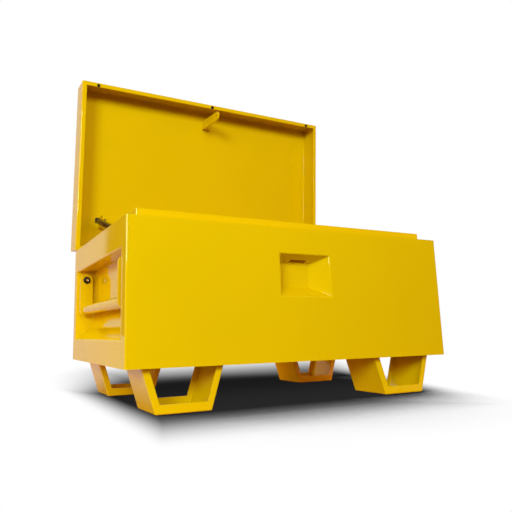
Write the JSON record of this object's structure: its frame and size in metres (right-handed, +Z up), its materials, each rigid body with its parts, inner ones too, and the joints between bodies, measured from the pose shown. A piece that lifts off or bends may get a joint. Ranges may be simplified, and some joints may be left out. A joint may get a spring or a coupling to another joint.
{
  "type": "jobsite storage box",
  "caption": "Folded steel storage chest on channel feet, with a deep lid on gas struts, a recessed padlock pocket and drop handles in recessed ends.",
  "frame": {"origin": "on the floor, under the middle of the bounding box with the lid standing open", "axes": "+X along the front from the left end to the right end, +Y to the back, +Z up"},
  "size_m": [0.812, 0.5577, 0.8643],
  "materials": {
    "yellow_paint": "gloss powder coat",
    "zinc_steel": "zinc plated",
    "rivet_metal": "satin",
    "black_enamel": "gloss black enamel",
    "chrome_rod": "hard chrome",
    "black_plastic": "moulded black",
    "rubber": "matt"
  },
  "bodies": {
    "box": {"front_panel": "yellow_paint", "back_panel": "yellow_paint", "end_panel_left": "yellow_paint", "end_panel_right": "yellow_paint", "recess_cheeks_left": "yellow_paint", "recess_cheeks_right": "yellow_paint", "floor_panel": "yellow_paint", "rim_front": "yellow_paint", "rim_back": "yellow_paint", "rim_left": "yellow_paint", "rim_right": "yellow_paint", "collar_front": "yellow_paint", "collar_back": "yellow_paint", "collar_left": "yellow_paint", "collar_right": "yellow_paint", "lock_pocket": "yellow_paint", "lock_eye_plate": "yellow_paint", "lock_guard": "yellow_paint", "foot_front_left": "yellow_paint", "foot_front_right": "yellow_paint", "foot_back_left": "yellow_paint", "foot_back_right": "yellow_paint", "hinge_leaf_body": "yellow_paint", "strut_bracket_box_left": "yellow_paint", "strut_bracket_box_right": "yellow_paint", "handle_bosses": "yellow_paint", "strut_ball_studs_box": "zinc_steel", "hinge_pin": "zinc_steel", "handle_pivot_bolts": "zinc_steel", "hinge_rivets_body": "rivet_metal", "handle_washers": "black_plastic"},
    "lid": {"lid_shell": "yellow_paint", "lid_end_left": "yellow_paint", "lid_end_right": "yellow_paint", "hasp_tab": "yellow_paint", "hasp_foot": "yellow_paint", "hasp_gusset": "yellow_paint", "hinge_leaf_lid": "yellow_paint", "strut_bracket_lid_left": "yellow_paint", "strut_bracket_lid_right": "yellow_paint", "strut_ball_studs_lid": "zinc_steel", "hinge_rivets_lid": "rivet_metal", "lid_buffers": "rubber"},
    "strut_tube_left": {"strut_tube_left": "black_enamel", "strut_upper_socket_left": "black_plastic", "strut_gland_left": "black_plastic"},
    "strut_rod_left": {"strut_rod_left": "chrome_rod", "strut_lower_socket_left": "black_plastic", "strut_piston_left": "black_plastic"},
    "strut_tube_right": {"strut_tube_right": "black_enamel", "strut_upper_socket_right": "black_plastic", "strut_gland_right": "black_plastic"},
    "strut_rod_right": {"strut_rod_right": "chrome_rod", "strut_lower_socket_right": "black_plastic", "strut_piston_right": "black_plastic"},
    "handle_left": {"handle_arms_left": "yellow_paint", "handle_grip_left": "yellow_paint"},
    "handle_right": {"handle_arms_right": "yellow_paint", "handle_grip_right": "yellow_paint"}
  },
  "joints": [
    {"name": "lid_hinge", "type": "hinge", "parent": "box", "child": "lid", "pos_m": [0, 0.20788, 0.37325], "axis": [1, 0, 0], "range_deg": [0, 85]},
    {"name": "strut_left_ball", "type": "hinge", "parent": "lid", "child": "strut_tube_left", "pos_m": [-0.345, 0.21481, 0.46621], "axis": [1, 0, 0], "range_deg": [-94.6, 0]},
    {"name": "strut_left_stroke", "type": "slide", "parent": "strut_tube_left", "child": "strut_rod_left", "axis": [0, -0.9489, -0.3157], "range_m": [-0.1149, 0]},
    {"name": "strut_right_ball", "type": "hinge", "parent": "lid", "child": "strut_tube_right", "pos_m": [0.345, 0.21481, 0.46621], "axis": [1, 0, 0], "range_deg": [-94.6, 0]},
    {"name": "strut_right_stroke", "type": "slide", "parent": "strut_tube_right", "child": "strut_rod_right", "axis": [0, -0.9489, -0.3157], "range_m": [-0.1149, 0]},
    {"name": "handle_left_swing", "type": "hinge", "parent": "box", "child": "handle_left", "pos_m": [-0.3875, -0.03752, 0.288], "axis": [0, 1, 0], "range_deg": [0, 100]},
    {"name": "handle_right_swing", "type": "hinge", "parent": "box", "child": "handle_right", "pos_m": [0.3875, -0.03752, 0.288], "axis": [0, -1, 0], "range_deg": [0, 100]}
  ],
  "couplings": [
    {"joint": "strut_left_ball", "follows": "lid_hinge", "ratio": -1.1129},
    {"joint": "strut_left_stroke", "follows": "lid_hinge", "m_per_rad": -0.077442},
    {"joint": "strut_right_ball", "follows": "lid_hinge", "ratio": -1.1129},
    {"joint": "strut_right_stroke", "follows": "lid_hinge", "m_per_rad": -0.077442}
  ]
}
